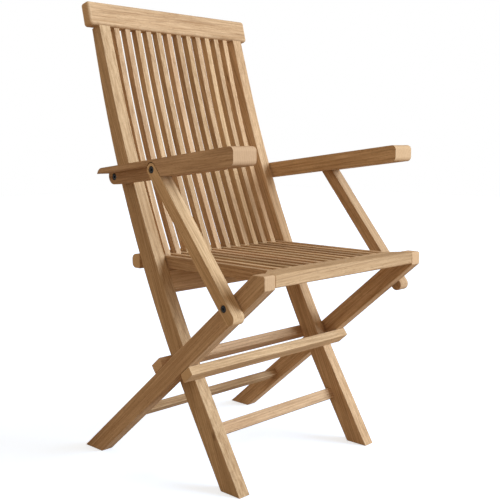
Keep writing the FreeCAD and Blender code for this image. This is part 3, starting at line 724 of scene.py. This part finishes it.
def teak_material(name, depth, wear_and_highlight):
    """Sanded teak: depth is how strongly the boards differ in tone; the third argument is how much the eased
    edges are lightened, partly for wear and partly as a painted highlight.
    """
    teak = bpy.context.scene.armchair.teak
    tree, shader = new_material(name)
    grain = attribute(tree, "grain", "Vector")
    figure = group_node(tree, "Teak grain")
    figure.inputs["Ring Scale"].default_value = WAVE_STEP / teak.ring_width
    tree.links.new(grain, figure.inputs["Grain"])
    rubbed_and_highlit = group_node(tree, "Edge wear and highlight")
    tree.links.new(grain, rubbed_and_highlit.inputs["Place"])
    tree.links.new(attribute(tree, "eased", "Fac"), rubbed_and_highlit.inputs["Eased"])
    # How far the eased edges turn to the worn colour: partly wear, partly a painted highlight; the same share
    # makes them smoother.
    worn_and_highlit = maths(tree, "MULTIPLY", rubbed_and_highlit.outputs["Wear"], wear_and_highlight)

    wood = board_by_board(tree, figured_wood(tree, figure, teak), depth)
    tree.links.new(mixed(tree, worn_and_highlit, wood, teak.worn_and_highlit), shader.inputs["Base Color"])

    fibres = figure.outputs["Fibres"]
    rough_range = [teak.roughness + spread for spread in ROUGHNESS_SPREAD]
    rough = remap(tree, fibres, NOISE_RANGE, rough_range)
    smoother = maths(tree, "MULTIPLY", worn_and_highlit, RUBBED_SMOOTHER)
    tree.links.new(maths(tree, "SUBTRACT", rough, smoother), shader.inputs["Roughness"])
    relief = maths(tree, "SUBTRACT", maths(tree, "MULTIPLY", fibres, FIBRE_RELIEF), figure.outputs["Pores"])
    bumped(tree, shader, relief, strength=0.25, distance=0.0003)
    shader.inputs["Specular IOR Level"].default_value = TEAK_SPECULAR


# Steel.
# The roughness of dark and bare steel and how it spreads, the steel's paler clouds, and its metal look.
DARK_ROUGHNESS = 0.42
BARE_ROUGHNESS = 0.35
STEEL_SPREAD = (-0.1, 0.12)
CLOUD_RANGE = (0.35, 0.75)
CLOUD_LIGHTER = 2.1
METALLIC = 0.85


def steel_material(name, colour, roughness):
    """Steel with a fine uneven finish."""
    tree, shader = new_material(name)
    place = add(tree, "ShaderNodeTexCoord").outputs["Object"]
    cloud = noise(tree, place, scale=260.0, detail=4.0, rough=0.6)
    lighter = [min(1.0, part * CLOUD_LIGHTER) for part in colour]
    tree.links.new(mixed(tree, remap(tree, cloud, CLOUD_RANGE), colour, lighter), shader.inputs["Base Color"])
    rough_range = [roughness + spread for spread in STEEL_SPREAD]
    tree.links.new(remap(tree, cloud, NOISE_RANGE, rough_range), shader.inputs["Roughness"])
    shader.inputs["Metallic"].default_value = METALLIC
    relief = noise(tree, place, scale=900.0, detail=2.0, rough=0.5)
    bumped(tree, shader, relief, strength=0.2, distance=0.0001)


# The studio.
# The floor's finish, how far off the lamps' objects are kept, and the camera's sensor and nearest point.
FLOOR_ROUGHNESS = 0.9
FLOOR_SPECULAR = 0.1
LAMP_DISTANCE = 3.0
SENSOR_MILLIMETRES = 36.0
NEAREST_SEEN = 0.05


def rays_that_show(tree):
    """One for the rays by which the camera sees the background, straight or in metal or glass."""
    path = add(tree, "ShaderNodeLightPath")
    mirrored = maths(tree, "MAXIMUM", path.outputs["Is Glossy Ray"], path.outputs["Is Transmission Ray"])
    return maths(tree, "MAXIMUM", path.outputs["Is Camera Ray"], mirrored)


def lay_floor(studio):
    """A plain pale floor that keeps the chair's shadow."""
    bm = bmesh.new()
    bmesh.ops.create_grid(bm, x_segments=1, y_segments=1, size=studio.floor_wide / 2)
    tree, shader = new_material("Pale floor")
    shader.inputs["Roughness"].default_value = FLOOR_ROUGHNESS
    shader.inputs["Specular IOR Level"].default_value = FLOOR_SPECULAR
    seen = rays_that_show(tree)
    tree.links.new(mixed(tree, seen, studio.floor_bounce, studio.floor_colour), shader.inputs["Base Color"])
    shader.inputs["Emission Color"].default_value = (*WHITE, 1.0)
    tree.links.new(maths(tree, "MULTIPLY", seen, studio.floor_glow), shader.inputs["Emission Strength"])
    floor = finish_mesh(bm, "floor", bpy.data.materials["Pale floor"])


def light_around(scene, studio):
    """Soft light from all around, behind which the camera sees plain white."""
    world = bpy.data.worlds.new("Studio")
    scene.world = world
    world.use_nodes = True
    tree = world.node_tree
    background = tree.nodes["Background"]
    seen = rays_that_show(tree)
    tree.links.new(mixed(tree, seen, studio.fill_colour, WHITE), background.inputs["Color"])
    to_white = maths(tree, "MULTIPLY", seen, 1.0 - studio.fill_strength)
    tree.links.new(maths(tree, "ADD", studio.fill_strength, to_white), background.inputs["Strength"])


def hang_lamp(scene, name, strength, colour, towards, spread):
    """A broad lamp that shines on the chair from one direction."""
    lamp = bpy.data.lights.new(name, "SUN")
    lamp.energy = strength
    lamp.color = colour
    lamp.angle = spread
    holder = bpy.data.objects.new(name, lamp)
    holder.rotation_euler = Vector(towards).to_track_quat("Z", "Y").to_euler()
    holder.location = Vector(towards) * LAMP_DISTANCE
    scene.collection.objects.link(holder)


def place_camera(scene, studio):
    """The camera at the photograph's viewpoint."""
    lens = bpy.data.cameras.new("camera")
    lens.sensor_width = SENSOR_MILLIMETRES
    lens.lens = studio.lens
    lens.shift_y = studio.frame_shift
    lens.clip_start = NEAREST_SEEN
    holder = bpy.data.objects.new("camera", lens)
    holder.location = studio.camera_place
    holder.rotation_euler = studio.camera_turn
    scene.collection.objects.link(holder)
    scene.camera = holder


# Operators, one for each group of pieces.
class ARMCHAIR_OT_finishes(bpy.types.Operator):
    """Make the node groups and materials that the pieces share."""

    bl_idname = "armchair.finishes"
    bl_label = "Make finishes"

    def execute(self, context):
        teak_grain_group()
        edge_wear_and_highlight_group()
        for name, depth, wear_and_highlight in TEAKS.values():
            teak_material(name, depth, wear_and_highlight)
        steel = context.scene.armchair.steel
        steel_material("Dark bolts", steel.dark, DARK_ROUGHNESS)
        steel_material("Bare steel", steel.bare, BARE_ROUGHNESS)
        return {"FINISHED"}


class ARMCHAIR_OT_back_frame(bpy.types.Operator):
    """Dress the stiles, the top rail and the rails and stretcher between them."""

    bl_idname = "armchair.back_frame"
    bl_label = "Dress back frame"

    def execute(self, context):
        sizes = context.scene.armchair.timber
        along = leaning(sizes.stile_grain_lean)
        for side in SIDES:
            dress_timber("stile_" + side, along, sizes.frame_ease, "teak_frame", "foot")
        dress_timber("top_rail", ACROSS, sizes.rail_ease, "teak_frame")
        dress_timber("lower_back_rail", ACROSS, sizes.frame_ease, "teak_frame", "none")
        dress_timber("front_stop_rail", ACROSS, sizes.frame_ease, "teak_frame")
        dress_timber("front_stretcher", ACROSS, sizes.frame_ease, "teak_frame", "none")
        return {"FINISHED"}


class ARMCHAIR_OT_back_slats(bpy.types.Operator):
    """Dress the bent slats of the back."""

    bl_idname = "armchair.back_slats"
    bl_label = "Dress back slats"

    def execute(self, context):
        sizes = context.scene.armchair.timber
        along = leaning(sizes.stile_grain_lean)
        for node in BACK_SLATS:
            dress_timber(node, along, sizes.slat_ease, "teak_slats", "none")
        return {"FINISHED"}


class ARMCHAIR_OT_leg_frame(bpy.types.Operator):
    """Dress the folding legs with their stop rail and stretcher."""

    bl_idname = "armchair.leg_frame"
    bl_label = "Dress folding legs"

    def execute(self, context):
        sizes = context.scene.armchair.timber
        for side in SIDES:
            dress_timber("rear_leg_" + side, leaning(sizes.leg_lean), sizes.frame_ease, "teak_frame")
        dress_timber("rear_stop_rail", ACROSS, sizes.frame_ease, "teak_frame")
        dress_timber("rear_stretcher", ACROSS, sizes.frame_ease, "teak_frame", "none")
        return {"FINISHED"}


class ARMCHAIR_OT_seat(bpy.types.Operator):
    """Dress the seat's rails and strips."""

    bl_idname = "armchair.seat"
    bl_label = "Dress seat"

    def execute(self, context):
        sizes = context.scene.armchair.timber
        dress_timber("seat_front_rail", ACROSS, sizes.frame_ease, "teak_frame")
        dress_timber("seat_rear_rail", ACROSS, sizes.frame_ease, "teak_frame")
        for node in SEAT_STRIPS:
            dress_timber(node, BACKWARD, sizes.slat_ease, "teak_slats", "none")
        return {"FINISHED"}


class ARMCHAIR_OT_arms(bpy.types.Operator):
    """Dress the arms and their supports."""

    bl_idname = "armchair.arms"
    bl_label = "Dress arms"

    def execute(self, context):
        sizes = context.scene.armchair.timber
        for side in SIDES:
            dress_timber("arm_" + side, leaning(sizes.arm_lean), sizes.arm_ease, "teak_arms")
            dress_timber("arm_support_" + side, leaning(sizes.support_lean), sizes.arm_ease, "teak_arms")
        return {"FINISHED"}


class ARMCHAIR_OT_hardware(bpy.types.Operator):
    """Make the bolts, and finish the pins and washers."""

    bl_idname = "armchair.hardware"
    bl_label = "Make hardware"

    def execute(self, context):
        dress_bolts("arm_bolts", list(SIDES.values()))
        for side, sign in SIDES.items():
            dress_bolts("support_top_bolt_" + side, [sign])
            dress_bolts("support_foot_bolt_" + side, [sign])
        bare = bpy.data.materials["Bare steel"]
        for name, node in frame["nodes"].items():
            if name.endswith("_pins") or "washer" in name:
                for material_slot in node.material_slots:
                    material_slot.material = bare
        return {"FINISHED"}


class ARMCHAIR_OT_stage(bpy.types.Operator):
    """Set the floor, the light around the chair, the lamps and the camera."""

    bl_idname = "armchair.stage"
    bl_label = "Set the stage"

    def execute(self, context):
        scene = context.scene
        studio = scene.armchair.studio
        lay_floor(studio)
        light_around(scene, studio)
        hang_lamp(scene, "key_lamp", studio.key_strength, studio.key_colour, studio.key_from,
                  studio.key_spread)
        hang_lamp(scene, "back_lamp", studio.back_strength, studio.back_colour, studio.back_from,
                  studio.back_spread)
        place_camera(scene, studio)
        scene.view_settings.view_transform = "Standard"
        return {"FINISHED"}


class ARMCHAIR_PT_sidebar(bpy.types.Panel):
    """The armchair's sizes, colours and steps."""

    bl_idname = "ARMCHAIR_PT_sidebar"
    bl_label = "Folding armchair"
    bl_space_type = "VIEW_3D"
    bl_region_type = "UI"
    bl_category = "Armchair"

    def draw(self, context):
        settings = context.scene.armchair
        for title, group in (("Timbers", settings.timber), ("Teak", settings.teak),
                             ("Steel", settings.steel), ("Studio", settings.studio)):
            box = self.layout.box()
            box.label(text=title)
            for name in group.__annotations__:
                box.prop(group, name)
        for step in STEPS:
            self.layout.operator(step.bl_idname)


STEPS = (
    ARMCHAIR_OT_finishes,
    ARMCHAIR_OT_back_frame,
    ARMCHAIR_OT_back_slats,
    ARMCHAIR_OT_leg_frame,
    ARMCHAIR_OT_seat,
    ARMCHAIR_OT_arms,
    ARMCHAIR_OT_hardware,
    ARMCHAIR_OT_stage,
)
CLASSES = (TimberSizes, TeakFinish, SteelFinish, StudioSetup, ArmchairSettings, *STEPS, ARMCHAIR_PT_sidebar)


def register():
    """Make the armchair's settings, steps and panel known."""
    for item in CLASSES:
        bpy.utils.register_class(item)
    bpy.types.Scene.armchair = PointerProperty(type=ArmchairSettings)


def unregister():
    """Take them away again."""
    del bpy.types.Scene.armchair
    for item in reversed(CLASSES):
        bpy.utils.unregister_class(item)


def main():
    """Make every piece in order."""
    register()
    for step in STEPS:
        group, name = step.bl_idname.split(".")
        getattr(getattr(bpy.ops, group), name)()


if __name__ == "__main__":
    main()
